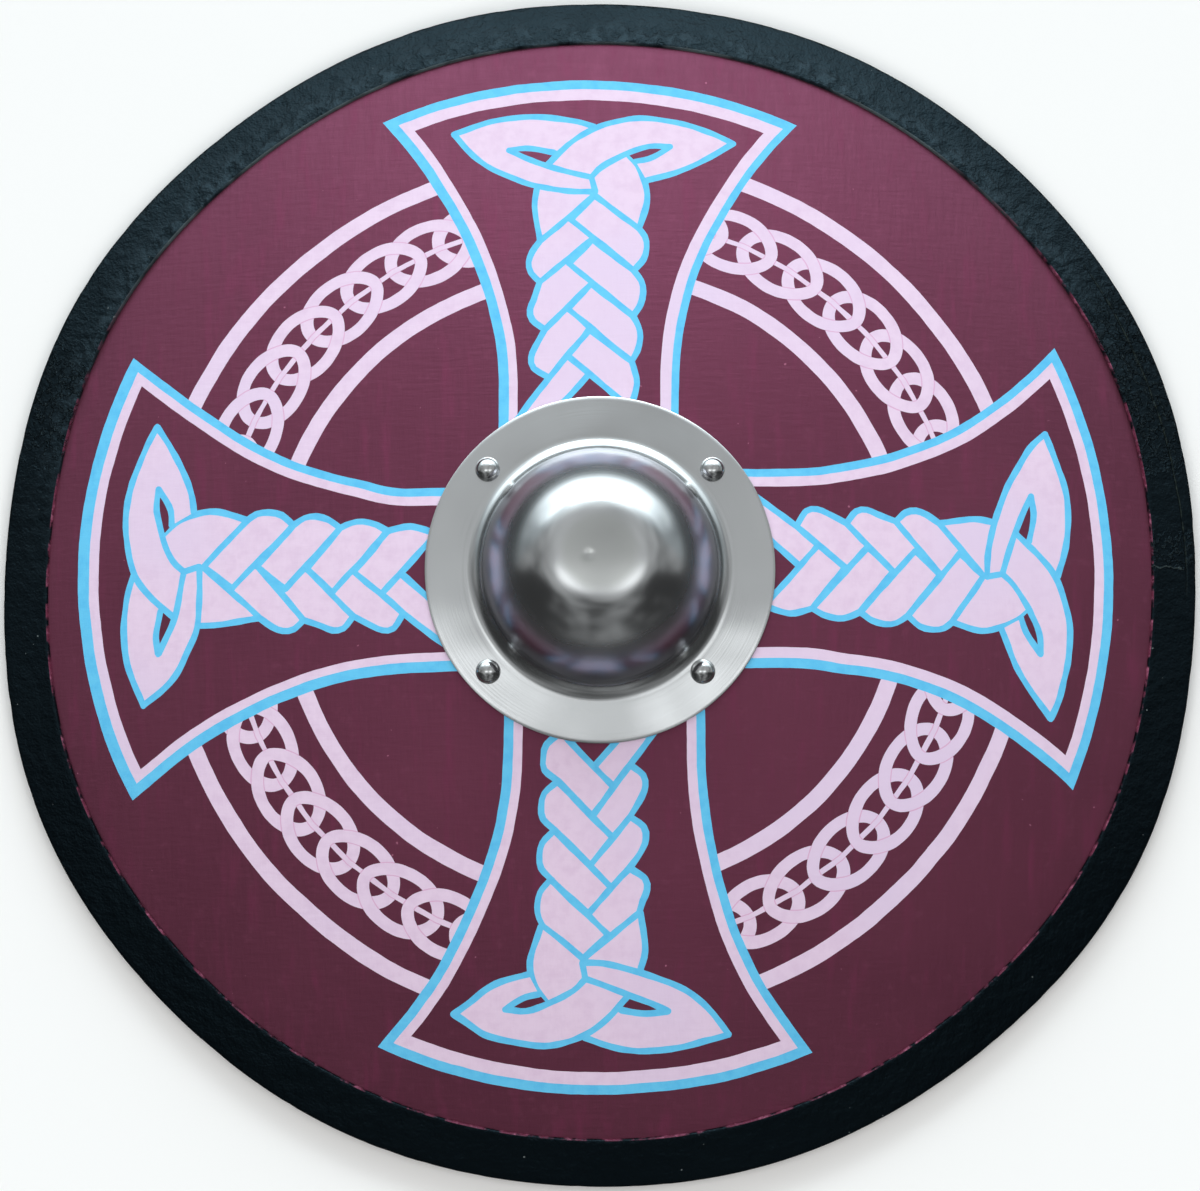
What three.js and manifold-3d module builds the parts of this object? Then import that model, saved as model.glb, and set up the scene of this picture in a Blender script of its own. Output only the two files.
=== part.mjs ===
// A domed wooden round shield, lying on its back edge with its face and boss up.
// Millimetres, +Z up. The origin is on the surface it rests on, under the middle of the dome.
// +Y is the way the shield's top points, and +X is to the right of someone facing its front.
import * as THREE from 'three';
import { mergeVertices } from 'three/addons/utils/BufferGeometryUtils.js';
import Module from 'manifold-3d';

const wasm = await Module();
wasm.setup();

// Driving dimensions.
const SHIELD_RADIUS = 305;        // to the outside of the leather rim
const FACE_DEPTH = 68;            // how far the painted face bulges above its own edge
const BOARD_THICKNESS = 9;
const CANVAS_THICKNESS = 0.8;
const LEATHER_THICKNESS = 2;
const TOUCH_GAP = 0.3;            // kept between pieces that touch
const HAND_HOLE_RADIUS = 56.5;
const RIM_FACE_WIDTH = 23.5;      // leather band, measured along the slope
const RIM_BACK_WIDTH = 22;
const REST_CUT = 1.5;             // leather pressed flat under the edge where the shield lies
const RIM_CHAMFER = 0.6;          // on the leather's inner edge, over the face

const BOSS_RADIUS = 88;           // to the edge of the flange
const BOSS_THICKNESS = 2;
const DOME_RADIUS = 59.5;
const DOME_RISE = 53;             // from the groove round its foot to its top
const FOOT_FILLET = 8;            // sweep between flange and dome
const GROOVE_DEPTH = 0.8;
const FLANGE_CHAMFER = 0.8;

const RIVET_PLACES = [[-56, 50], [56, 50], [-55.5, -51.5], [51, -51.5]];
const RIVET_HEAD_RADIUS = 6.2;
const RIVET_HEAD_HEIGHT = 4.6;
const RIVET_SHANK_RADIUS = 2.5;
const RIVET_TAIL_RADIUS = 4;
const RIVET_TAIL_HEIGHT = 1.8;
const WASHER_RADIUS = 8;
const WASHER_THICKNESS = 1.5;

const GRIP_LENGTH = 240;
const GRIP_END_HALF_WIDTH = 18;
const GRIP_HAND_HALF_WIDTH = 15;
const GRIP_HAND_THICKNESS = 23;
const GRIP_END_THICKNESS = 9;
const GRIP_HAND_HALF_LENGTH = 40;
const GRIP_THIN_FROM = 85;        // beyond this the ends are at their own thickness
const SCREW_PLACES = [[-104, 8], [-104, -8], [104, 8], [104, -8]];
const SCREW_HEAD_RADIUS = 4;
const SCREW_HEAD_HEIGHT = 2.4;
const SCREW_SHANK_RADIUS = 1.8;
const SCREW_DEPTH_IN_BOARD = 6;

// The sawn edge isn't a true circle: lobes round it, how far they stand out, and where one peaks.
const EDGE_WAVER = [
  { lobes: 2, height: 0.5, peak: 22 },
  { lobes: 4, height: 0.75, peak: 43 },
  { lobes: 6, height: 0.75, peak: 28 },
  { lobes: 8, height: 0.85, peak: 19 },
];

const EDGE_SEGMENTS = 52;
const BOSS_SEGMENTS = 32;
const DOME_STEPS = 7;             // flat steps from the middle of the dome to its edge

// All the layers are parts of spheres about one centre on the Z axis. These are their radii.
const wrapThickness = TOUCH_GAP + LEATHER_THICKNESS;
const slopeGuess = Math.atan(2 * FACE_DEPTH / SHIELD_RADIUS);
const faceEdgeRadius = SHIELD_RADIUS - wrapThickness * (Math.cos(slopeGuess) + Math.sin(slopeGuess));
const faceLayer = (faceEdgeRadius ** 2 + FACE_DEPTH ** 2) / (2 * FACE_DEPTH);
const canvasLayer = faceLayer - CANVAS_THICKNESS;
const boardFaceLayer = canvasLayer - TOUCH_GAP;
const boardBackLayer = boardFaceLayer - BOARD_THICKNESS;
const onFaceLayer = faceLayer + TOUCH_GAP;
const edgeAngle = Math.asin(faceEdgeRadius / faceLayer);
const wrapAngle = wrapThickness / boardBackLayer;
const backLeatherLayer = boardBackLayer - wrapThickness;
const centreHeight = -backLeatherLayer * Math.cos(edgeAngle + wrapAngle) - REST_CUT;

// Every layer is stepped at the same angles, so neighbouring layers stay parallel.
const stepAngle = edgeAngle / DOME_STEPS;

// Profile points are Vector2(distance from the axis, height). This one lies on a layer's flat step.
function onLayer(layer, angle) {
  const middle = (Math.floor(angle / stepAngle + 1e-9) + 0.5) * stepAngle;
  const reach = layer * Math.cos(stepAngle / 2) / Math.cos(angle - middle);
  return new THREE.Vector2(reach * Math.sin(angle), centreHeight + reach * Math.cos(angle));
}

// The points of a layer from one angle to another, in either direction, with the steps between.
function layerArc(layer, fromAngle, toAngle) {
  const points = [onLayer(layer, fromAngle)];
  const low = Math.min(fromAngle, toAngle) + 1e-4;
  const high = Math.max(fromAngle, toAngle) - 1e-4;
  const between = [];
  for (let step = Math.ceil(low / stepAngle); step * stepAngle < high; step++) {
    between.push(onLayer(layer, step * stepAngle));
  }
  if (fromAngle > toAngle) {
    between.reverse();
  }
  points.push(...between, onLayer(layer, toAngle));
  return points;
}

// The angle at which a layer is a given distance from the axis.
function angleAt(layer, distance) {
  let angle = Math.asin(distance / layer);
  for (let i = 0; i < 3; i++) {
    angle += (distance - onLayer(layer, angle).x) / layer;
  }
  return angle;
}

function heightOnLayer(layer, distance) {
  return onLayer(layer, angleAt(layer, distance)).y;
}

function waver(angle) {
  let total = 0;
  for (const { lobes, height, peak } of EDGE_WAVER) {
    total += height * Math.cos(lobes * (angle - THREE.MathUtils.degToRad(peak)));
  }
  return total;
}

// Moves a turned shape's points in or out by the waver, fully at the edge and hardly at the middle.
function sawEdge(geometry) {
  const position = geometry.attributes.position;
  for (let i = 0; i < position.count; i++) {
    const x = position.getX(i);
    const y = position.getY(i);
    const distance = Math.hypot(x, y);
    const stretch = 1 + waver(Math.atan2(y, x)) * distance ** 2 / SHIELD_RADIUS ** 3;
    position.setX(i, x * stretch);
    position.setY(i, y * stretch);
  }
  return geometry;
}

// Turns a profile about Z. The profile runs anticlockwise round the material, seen with +Z up.
function turned(profile, segments) {
  const geometry = new THREE.LatheGeometry(profile, segments);
  geometry.rotateX(Math.PI / 2);
  return geometry;
}

function closed(profile) {
  return [...profile, profile[0].clone()];
}

function toSolid(geometry) {
  const bare = geometry.clone();
  bare.deleteAttribute('normal');
  bare.deleteAttribute('uv');
  const merged = mergeVertices(bare);
  return new wasm.Manifold(new wasm.Mesh({
    numProp: 3,
    vertProperties: new Float32Array(merged.attributes.position.array),
    triVerts: new Uint32Array(merged.index.array),
  }));
}

function toGeometry(solid) {
  const { vertProperties, triVerts } = solid.getMesh();
  const geometry = new THREE.BufferGeometry();
  geometry.setAttribute('position', new THREE.Float32BufferAttribute(vertProperties, 3));
  geometry.setIndex(new THREE.Uint32BufferAttribute(triVerts, 1));
  geometry.computeVertexNormals();
  return geometry;
}

function cut(geometry, tools) {
  let solid = toSolid(geometry);
  for (const tool of tools) {
    solid = solid.subtract(toSolid(tool));
  }
  return toGeometry(solid);
}

// A place square to a layer, above a plan position: its Z axis points out of the face.
function squareTo(layer, [x, y]) {
  const distance = Math.hypot(x, y);
  const foot = new THREE.Vector3(x, y, heightOnLayer(layer, distance));
  const lean = (Math.floor(angleAt(layer, distance) / stepAngle) + 0.5) * stepAngle;
  const sideways = Math.sin(lean) / distance;
  const outward = new THREE.Vector3(x * sideways, y * sideways, Math.cos(lean));
  const turn = new THREE.Quaternion().setFromUnitVectors(new THREE.Vector3(0, 0, 1), outward);
  return new THREE.Matrix4().compose(foot, turn, new THREE.Vector3(1, 1, 1));
}

// A round tool for drilling: a cylinder along Z from one height to another.
function drill(radius, from, to) {
  const tool = new THREE.CylinderGeometry(radius, radius, to - from, 12);
  tool.rotateX(Math.PI / 2);
  tool.translate(0, 0, (from + to) / 2);
  return tool;
}

const paint = new THREE.MeshStandardMaterial({ color: 0x5b2f3e, roughness: 0.55, metalness: 0 });
const blackLeather = new THREE.MeshStandardMaterial({ color: 0x14191d, roughness: 0.6, metalness: 0 });
const birchPly = new THREE.MeshStandardMaterial({ color: 0xb88f5e, roughness: 0.7, metalness: 0 });
const ash = new THREE.MeshStandardMaterial({ color: 0xa67844, roughness: 0.6, metalness: 0 });
const polishedSteel = new THREE.MeshStandardMaterial({ color: 0xc4c6c4, roughness: 0.22, metalness: 1 });
const rivetSteel = new THREE.MeshStandardMaterial({ color: 0xa8aaa6, roughness: 0.15, metalness: 1 });
const zincSteel = new THREE.MeshStandardMaterial({ color: 0x9a9c98, roughness: 0.4, metalness: 1 });

const shield = new THREE.Group();

function add(name, geometry, material, place) {
  const mesh = new THREE.Mesh(geometry, material);
  mesh.name = name;
  if (place) {
    place.decompose(mesh.position, mesh.quaternion, mesh.scale);
  }
  shield.add(mesh);
}

// Rivets and screws first, because the layers they pass through are drilled for them.
const headSeat = onFaceLayer + BOSS_THICKNESS;
const tailSeat = boardBackLayer - TOUCH_GAP - WASHER_THICKNESS;
const rivetPlaces = RIVET_PLACES.map((place) => squareTo(headSeat, place));
const rivetHole = drill(RIVET_SHANK_RADIUS + TOUCH_GAP, tailSeat - headSeat - 3, 3);
const rivetHoles = rivetPlaces.map((place) => rivetHole.clone().applyMatrix4(place));

const gripTop = (x, halfWidth) => heightOnLayer(boardBackLayer, Math.hypot(x, halfWidth)) - TOUCH_GAP;
const screwSeat = new THREE.Matrix4().makeTranslation(0, 0, -GRIP_END_THICKNESS - 2 * TOUCH_GAP);
const screwPlaces = SCREW_PLACES.map((place) => squareTo(boardBackLayer, place).multiply(screwSeat));
const screwLength = GRIP_END_THICKNESS + SCREW_DEPTH_IN_BOARD;
const screwHole = drill(SCREW_SHANK_RADIUS + TOUCH_GAP, -3, screwLength + TOUCH_GAP);
const screwHoles = screwPlaces.map((place) => screwHole.clone().applyMatrix4(place));

// The board: laminated and pressed to a dome, with a round hand hole through the middle.
function boardGeometry() {
  const profile = closed([
    ...layerArc(boardBackLayer, angleAt(boardBackLayer, HAND_HOLE_RADIUS), edgeAngle),
    ...layerArc(boardFaceLayer, edgeAngle, angleAt(boardFaceLayer, HAND_HOLE_RADIUS)),
  ]);
  return cut(sawEdge(turned(profile, EDGE_SEGMENTS)), [...rivetHoles, ...screwHoles]);
}
add('board', boardGeometry(), birchPly);

// The canvas glued over the face and painted. It ends at the hand hole and under the rim.
function canvasGeometry() {
  const profile = closed([
    ...layerArc(canvasLayer, angleAt(canvasLayer, HAND_HOLE_RADIUS), edgeAngle),
    ...layerArc(faceLayer, edgeAngle, angleAt(faceLayer, HAND_HOLE_RADIUS)),
  ]);
  return cut(sawEdge(turned(profile, EDGE_SEGMENTS)), rivetHoles);
}
add('canvas_facing', canvasGeometry(), paint);

// The leather rim: one strip folded over the edge, its fold pressed flat where the shield rests.
function rimGeometry() {
  const faceStart = edgeAngle - RIM_FACE_WIDTH / faceLayer;
  const backStart = edgeAngle - RIM_BACK_WIDTH / boardBackLayer;
  const innerEdge = edgeAngle + TOUCH_GAP / boardBackLayer;
  const outerEdge = edgeAngle + wrapAngle;
  const topLayer = onFaceLayer + LEATHER_THICKNESS;
  const roll = LEATHER_THICKNESS * 0.6;
  const flatInside = outerEdge - REST_CUT / Math.sin(outerEdge) / backLeatherLayer;
  const restInside = onLayer(backLeatherLayer, flatInside);
  const restOutside = onLayer(backLeatherLayer + REST_CUT / Math.cos(outerEdge), outerEdge);
  restInside.y = 0;
  restOutside.y = 0;
  const profile = closed([
    ...layerArc(backLeatherLayer, backStart, flatInside).slice(0, -1),
    restInside,
    restOutside,
    onLayer(topLayer - roll, outerEdge),
    onLayer(topLayer - roll * 0.3, outerEdge - roll * 0.3 / topLayer),
    ...layerArc(topLayer, outerEdge - roll / topLayer, faceStart + RIM_CHAMFER / topLayer),
    onLayer(topLayer - RIM_CHAMFER, faceStart),
    ...layerArc(onFaceLayer, faceStart, innerEdge),
    ...layerArc(boardBackLayer - TOUCH_GAP, innerEdge, backStart),
  ]);
  return sawEdge(turned(profile, EDGE_SEGMENTS));
}
add('leather_rim', rimGeometry(), blackLeather);

// The boss: one spun steel shell, open behind over the hand hole.
function bossGeometry() {
  const filletCentre = DOME_RADIUS + FOOT_FILLET;
  const flangeTop = heightOnLayer(headSeat, filletCentre);
  const domeFoot = flangeTop + FOOT_FILLET;
  const outside = [];
  const inside = [];
  const riseSteps = 7;
  for (let i = 0; i <= riseSteps; i++) {
    const turn = i / riseSteps * Math.PI / 2;
    outside.push(new THREE.Vector2(
      DOME_RADIUS * Math.sin(turn), domeFoot + GROOVE_DEPTH + DOME_RISE * Math.cos(turn)));
    inside.push(new THREE.Vector2(
      (DOME_RADIUS - BOSS_THICKNESS) * Math.sin(turn),
      domeFoot + GROOVE_DEPTH + (DOME_RISE - BOSS_THICKNESS) * Math.cos(turn)));
  }
  outside.push(new THREE.Vector2(DOME_RADIUS - GROOVE_DEPTH, domeFoot));
  const sweepSteps = 4;
  for (let i = 0; i <= sweepSteps; i++) {
    const turn = i / sweepSteps * Math.PI / 2;
    const across = Math.cos(turn);
    const down = Math.sin(turn);
    outside.push(new THREE.Vector2(
      filletCentre - FOOT_FILLET * across, domeFoot - FOOT_FILLET * down));
    inside.push(new THREE.Vector2(
      filletCentre - (FOOT_FILLET + BOSS_THICKNESS) * across,
      domeFoot - (FOOT_FILLET + BOSS_THICKNESS) * down));
  }
  const edgeTurn = angleAt(headSeat, BOSS_RADIUS);
  const faceEnd = edgeTurn - FLANGE_CHAMFER / headSeat;
  const flangeFace = layerArc(headSeat, angleAt(headSeat, filletCentre), faceEnd).slice(1);
  const flangeEdge = [onLayer(headSeat - FLANGE_CHAMFER, edgeTurn)];
  const flangeBack = layerArc(onFaceLayer, edgeTurn, angleAt(onFaceLayer, filletCentre)).slice(0, -1);
  const profile = [...outside, ...flangeFace, ...flangeEdge, ...flangeBack, ...inside.reverse()];
  profile[0].x = 0;
  profile[profile.length - 1].x = 0;
  return cut(turned(profile.reverse(), BOSS_SEGMENTS), rivetHoles);
}
add('boss', bossGeometry(), polishedSteel);

// A rivet: round head on the flange, shank through everything, tail peened over its washer.
function rivetGeometry() {
  const headSteps = 4;
  const profile = [];
  const tail = tailSeat - headSeat - TOUCH_GAP;
  profile.push(new THREE.Vector2(0, tail - RIVET_TAIL_HEIGHT));
  profile.push(new THREE.Vector2(RIVET_TAIL_RADIUS * 0.7, tail - RIVET_TAIL_HEIGHT * 0.75));
  profile.push(new THREE.Vector2(RIVET_TAIL_RADIUS, tail));
  profile.push(new THREE.Vector2(RIVET_SHANK_RADIUS, tail));
  profile.push(new THREE.Vector2(RIVET_SHANK_RADIUS, TOUCH_GAP));
  for (let i = 0; i <= headSteps; i++) {
    const turn = i / headSteps * Math.PI / 2;
    profile.push(new THREE.Vector2(
      RIVET_HEAD_RADIUS * Math.cos(turn), TOUCH_GAP + RIVET_HEAD_HEIGHT * Math.sin(turn)));
  }
  profile[profile.length - 1].x = 0;
  return turned(profile, 10);
}

function washerGeometry() {
  const hole = RIVET_SHANK_RADIUS + TOUCH_GAP;
  const profile = closed([
    new THREE.Vector2(hole, 0),
    new THREE.Vector2(WASHER_RADIUS, 0),
    new THREE.Vector2(WASHER_RADIUS, WASHER_THICKNESS),
    new THREE.Vector2(hole, WASHER_THICKNESS),
  ]);
  return turned(profile, 12);
}

rivetPlaces.forEach((place, i) => {
  add(`boss_rivet_${i + 1}`, rivetGeometry(), rivetSteel, place);
  const washerPlace = place.clone().multiply(
    new THREE.Matrix4().makeTranslation(0, 0, tailSeat - headSeat));
  add(`rivet_washer_${i + 1}`, washerGeometry(), zincSteel, washerPlace);
});

// The grip: a batten across the hand hole, rounded for the hand and thinned to its ends,
// its ends hollowed to lie against the inside of the dome.
function gripGeometry() {
  const sides = 16;
  const handSquareness = 2.6;     // 2 would be a true ellipse, and more is squarer
  const endSquareness = 7;
  const outline = new THREE.Shape();
  for (let i = 0; i < sides; i++) {
    const turn = (i + 0.5) / sides * 2 * Math.PI;
    outline[i ? 'lineTo' : 'moveTo'](Math.cos(turn), Math.sin(turn));
  }
  outline.closePath();
  const bar = { depth: GRIP_LENGTH, steps: 16, bevelEnabled: false };
  const geometry = new THREE.ExtrudeGeometry(outline, bar);
  const position = geometry.attributes.position;
  for (let i = 0; i < position.count; i++) {
    const x = position.getZ(i) - GRIP_LENGTH / 2;
    const turn = Math.atan2(position.getY(i), position.getX(i));
    const towardsEnd = THREE.MathUtils.smoothstep(Math.abs(x), GRIP_HAND_HALF_LENGTH, GRIP_THIN_FROM);
    const roundness = THREE.MathUtils.lerp(2 / handSquareness, 2 / endSquareness, towardsEnd);
    const halfWidth = THREE.MathUtils.lerp(GRIP_HAND_HALF_WIDTH, GRIP_END_HALF_WIDTH, towardsEnd);
    const thickness = THREE.MathUtils.lerp(GRIP_HAND_THICKNESS, GRIP_END_THICKNESS, towardsEnd);
    const top = gripTop(Math.max(Math.abs(x), HAND_HOLE_RADIUS), GRIP_END_HALF_WIDTH);
    const across = Math.sign(Math.cos(turn)) * Math.abs(Math.cos(turn)) ** roundness;
    const up = Math.sign(Math.sin(turn)) * Math.abs(Math.sin(turn)) ** roundness;
    position.setXYZ(i, x, across * halfWidth, top + (up - 1) * thickness / 2);
  }
  return cut(geometry, screwHoles);
}
add('hand_grip', gripGeometry(), ash);

// Four round-head wood screws hold the grip to the board from behind.
function screwGeometry() {
  const profile = [
    new THREE.Vector2(0, -SCREW_HEAD_HEIGHT),
    new THREE.Vector2(SCREW_HEAD_RADIUS * 0.75, -SCREW_HEAD_HEIGHT * 0.75),
    new THREE.Vector2(SCREW_HEAD_RADIUS, 0),
    new THREE.Vector2(SCREW_SHANK_RADIUS, 0),
    new THREE.Vector2(SCREW_SHANK_RADIUS, screwLength - 3),
    new THREE.Vector2(0, screwLength),
  ];
  return turned(profile, 8);
}
screwPlaces.forEach((place, i) => {
  add(`grip_screw_${i + 1}`, screwGeometry(), zincSteel, place);
});

export default shield;
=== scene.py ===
import math

import bmesh
import bpy
import numpy as np
from mathutils import Matrix, Vector, noise
from mathutils.geometry import delaunay_2d_cdt


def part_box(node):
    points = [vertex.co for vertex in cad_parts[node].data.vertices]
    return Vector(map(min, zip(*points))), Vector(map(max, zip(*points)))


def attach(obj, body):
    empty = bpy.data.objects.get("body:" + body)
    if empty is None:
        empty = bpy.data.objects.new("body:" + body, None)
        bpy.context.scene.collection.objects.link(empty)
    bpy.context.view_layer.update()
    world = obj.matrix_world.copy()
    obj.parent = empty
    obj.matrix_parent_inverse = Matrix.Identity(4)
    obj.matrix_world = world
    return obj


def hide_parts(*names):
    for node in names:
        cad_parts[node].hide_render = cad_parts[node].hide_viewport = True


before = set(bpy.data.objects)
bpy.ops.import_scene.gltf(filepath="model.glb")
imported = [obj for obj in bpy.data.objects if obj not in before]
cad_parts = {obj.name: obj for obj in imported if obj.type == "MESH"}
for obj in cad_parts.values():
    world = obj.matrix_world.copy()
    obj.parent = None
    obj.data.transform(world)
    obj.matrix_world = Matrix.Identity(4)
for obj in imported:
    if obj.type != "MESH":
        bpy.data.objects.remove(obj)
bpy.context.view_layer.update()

# Where the shield lies: on a plain pale floor, under a soft sky that is brightest and a little
# blue beyond the shield's top and dim on the viewer's side, with a wide lamp overhead and a small
# one beyond the top. The camera leans eight degrees towards the shield's foot.
VIEW_DISTANCE = 3.0
VIEW_LEAN = math.radians(8.0)
VIEW_WIDTH = 0.6103               # across the picture, at the edge of the shield
EDGE_HEIGHT = 0.008

camera_data = bpy.data.cameras.new("camera")
camera = bpy.data.objects.new("camera", camera_data)
camera_data.sensor_width = 36.0
camera_data.lens = 36.0 * VIEW_DISTANCE / VIEW_WIDTH
camera_data.shift_y = -0.0062
camera_data.clip_end = 50.0
toward_camera = Vector((0.0, -math.sin(VIEW_LEAN), math.cos(VIEW_LEAN)))
camera.location = Vector((0.0, 0.0, EDGE_HEIGHT)) + VIEW_DISTANCE * toward_camera
camera.rotation_euler = toward_camera.to_track_quat("Z", "Y").to_euler()
bpy.context.scene.collection.objects.link(camera)
bpy.context.scene.camera = camera
bpy.context.scene.view_settings.view_transform = "Standard"


class Signal:
    """An output of a material's nodes. Arithmetic on signals adds Math nodes."""

    def __init__(self, tree, socket=None):
        self.tree, self.socket = tree, socket

    def make(self, kind, settings=None, inputs=None, output=0):
        node = self.tree.nodes.new("ShaderNode" + kind)
        for name, value in (settings or {}).items():
            setattr(node, name, value)
        for name, value in (inputs or {}).items():
            if isinstance(value, Signal):
                self.tree.links.new(value.socket, node.inputs[name])
            else:
                node.inputs[name].default_value = value
        return Signal(self.tree, node.outputs[output])

    def math(self, operation, first, second=0.0):
        return self.make("Math", {"operation": operation}, {0: first, 1: second})

    def __add__(self, other): return self.math("ADD", self, other)
    def __radd__(self, other): return self.math("ADD", other, self)
    def __sub__(self, other): return self.math("SUBTRACT", self, other)
    def __rsub__(self, other): return self.math("SUBTRACT", other, self)
    def __mul__(self, other): return self.math("MULTIPLY", self, other)
    def __rmul__(self, other): return self.math("MULTIPLY", other, self)
    def __pow__(self, other): return self.math("POWER", self, other)

    def step(self, low, high):
        """Rises smoothly from 0 to 1 as this signal goes from low to high."""
        return self.make("MapRange", {"interpolation_type": "SMOOTHSTEP"},
                         {"Value": self, "From Min": low, "From Max": high})

    def pick(self, off, on):
        """The colour off where this signal is 0, and on where it is 1."""
        return self.make("Mix", {"data_type": "RGBA"}, {0: self, 6: off, 7: on}, output=2)


def colour(red, green, blue):
    """A screen colour, 0 to 255, as the linear colour that Blender's sockets take."""
    def linear(value):
        value /= 255.0
        return value / 12.92 if value <= 0.04045 else ((value + 0.055) / 1.055) ** 2.4
    return linear(red), linear(green), linear(blue), 1.0


world = bpy.data.worlds.new("sky")
bpy.context.scene.world = world
world.use_nodes = True
sky = Signal(world.node_tree)
direction = sky.make("TexCoord", output="Generated")
aside = sky.make("SeparateXYZ", inputs={"Vector": direction}, output="X")
away = sky.make("SeparateXYZ", inputs={"Vector": direction}, output="Y")
height = sky.make("SeparateXYZ", inputs={"Vector": direction}, output="Z")
lean = sky.math("ARCTAN2", away, height)           # from straight up towards the shield's top
spread = sky.math("ABSOLUTE", aside)
ragged = sky.make("TexNoise", inputs={"Vector": direction, "Scale": 3.4, "Detail": 4.0}) - 0.5
patchy = sky.make("TexNoise", inputs={"Vector": direction, "Scale": 6.0, "Detail": 2.0}) - 0.5
beyond_top = (lean + 0.6 * ragged).step(0.50, 0.86) * (
    1.0 - (spread + 1.3 * ragged).step(0.28, 0.86)) * (1.0 + 2.4 * patchy)
viewer_side = (0.0 - lean - 0.9 * ragged).step(0.10, 0.62)
viewer_glow = (0.0 - lean).step(0.34, 0.60) * (1.0 - (spread + 0.8 * ragged).step(0.12, 0.34))
low_sides = spread.step(0.34, 0.80)
overhead = (1.0 - (0.0 - lean).step(0.11, 0.24)) * (1.0 - lean.step(-0.01, 0.06)) * (
    0.40 + 0.88 * spread.step(0.05, 0.16)) * (1.0 - spread.step(0.30, 0.5))
from_sides = spread.step(0.12, 0.22)
far_top = lean.step(0.78, 0.95) * (1.0 - spread.step(0.5, 0.9))
dark_left = 1.0 - (((aside + 0.88) ** 2.0 + (away + 0.14) ** 2.0) ** 0.5
                   + 0.3 * patchy).step(0.06, 0.22)
dark_right = 1.0 - (((aside - 0.80) ** 2.0 + (away + 0.22) ** 2.0) ** 0.5
                    + 0.3 * patchy).step(0.04, 0.30)
above_ground = height.step(-0.05, 0.16)
brightness = above_ground * (
    0.27 + 0.10 * from_sides + 0.05 * lean.step(0.20, 0.34) + 0.85 * beyond_top + 1.25 * far_top
    + 0.80 * overhead - 0.26 * viewer_side + 0.10 * viewer_glow - 0.16 * low_sides
    - 0.12 * dark_left - 0.06 * dark_right + 0.6 * ragged + 0.4 * patchy) + 0.04
DARKEST, BACKDROP = 0.035, 0.92
seen = sky.make("LightPath", output="Is Camera Ray")
brightness = seen * BACKDROP + (1.0 - seen) * sky.math("MAXIMUM", brightness, DARKEST)
tint = lean.step(0.4, 0.8).pick((0.95, 0.98, 1.0, 1.0), (0.845, 0.95, 1.0, 1.0))
tint = seen.pick(tint, (0.97, 1.0, 1.0, 1.0))
background = world.node_tree.nodes["Background"]
world.node_tree.links.new(tint.socket, background.inputs["Color"])
world.node_tree.links.new(brightness.socket, background.inputs["Strength"])


def soft_lamp(name, size, place, aim, energy, shade=(1.0, 1.0, 1.0), glossy=True):
    lamp_data = bpy.data.lights.new(name, "AREA")
    lamp_data.shape = "RECTANGLE"
    lamp_data.size, lamp_data.size_y = size
    lamp_data.energy = energy
    lamp_data.color = shade
    lamp = bpy.data.objects.new(name, lamp_data)
    lamp.location = place
    lamp.rotation_euler = (lamp.location - Vector(aim)).to_track_quat("Z", "Y").to_euler()
    lamp.visible_glossy = glossy
    bpy.context.scene.collection.objects.link(lamp)


soft_lamp("overhead_lamp", (3.2, 3.2), (0.0, -1.0, 3.4), (0.0, 0.0, 0.0), 71.0, glossy=False)
soft_lamp("top_lamp", (1.7, 0.7), (0.0, 2.2, 1.75), (0.0, 0.15, 0.0), 12.6, (0.88, 0.965, 1.0))

bm = bmesh.new()
bmesh.ops.create_grid(bm, x_segments=1, y_segments=1, size=6.0)
floor_mesh = bpy.data.meshes.new("floor")
bm.to_mesh(floor_mesh)
bm.free()
floor = bpy.data.objects.new("floor", floor_mesh)
bpy.context.scene.collection.objects.link(floor)
floor_paper = bpy.data.materials.new("pale_floor")
floor_paper.use_nodes = True
floor_shader = floor_paper.node_tree.nodes["Principled BSDF"]
floor_shader.inputs["Base Color"].default_value = (0.95, 0.935, 0.915, 1.0)
floor_shader.inputs["Roughness"].default_value = 0.9
floor_mesh.materials.append(floor_paper)
floor.visible_glossy = False


# The board: thin birch veneers glued and pressed over a dished form, cut round, with a round
# hole through the middle for the hand. Its back is sanded and oiled, and stays bare.
DOME_CENTRE = -0.62578            # every layer is part of a sphere about this point on the Z axis
BOARD_BACK = 0.69435              # the layers' radii
BOARD_FACE = 0.70335
HAND_HOLE = 0.0565
EDGE_ANGLE = math.radians(25.377)
EDGE_RADIUS = 0.305
# The sawn edge isn't a true circle: lobes round it, their height, and where one peaks.
SAWN_LOBES = [(2, 0.0005, 22), (4, 0.00075, 43), (6, 0.00075, 28), (8, 0.00085, 19)]


def material(name, roughness=0.5, metallic=0.0):
    """A new material, its shader node, and a signal to make its other nodes with."""
    made = bpy.data.materials.new(name)
    made.use_nodes = True
    shader = made.node_tree.nodes["Principled BSDF"]
    shader.inputs["Roughness"].default_value = roughness
    shader.inputs["Metallic"].default_value = metallic
    return made, shader, Signal(made.node_tree)


def feed(shader, name, signal):
    signal.tree.links.new(signal.socket, shader.inputs[name])


def bumped(shader, height, depth):
    """Raises the surface by the height signal, 0 to 1, up to a depth in metres."""
    feed(shader, "Normal", height.make("Bump", inputs={
        "Height": height, "Distance": depth, "Strength": 1.0}))


def stretched(signal, scale, turn=0.0):
    """Object coordinates turned about Z and scaled along each axis."""
    place = signal.make("TexCoord", output="Object")
    return signal.make("Mapping", inputs={
        "Vector": place, "Rotation": (0.0, 0.0, turn), "Scale": scale})


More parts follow.
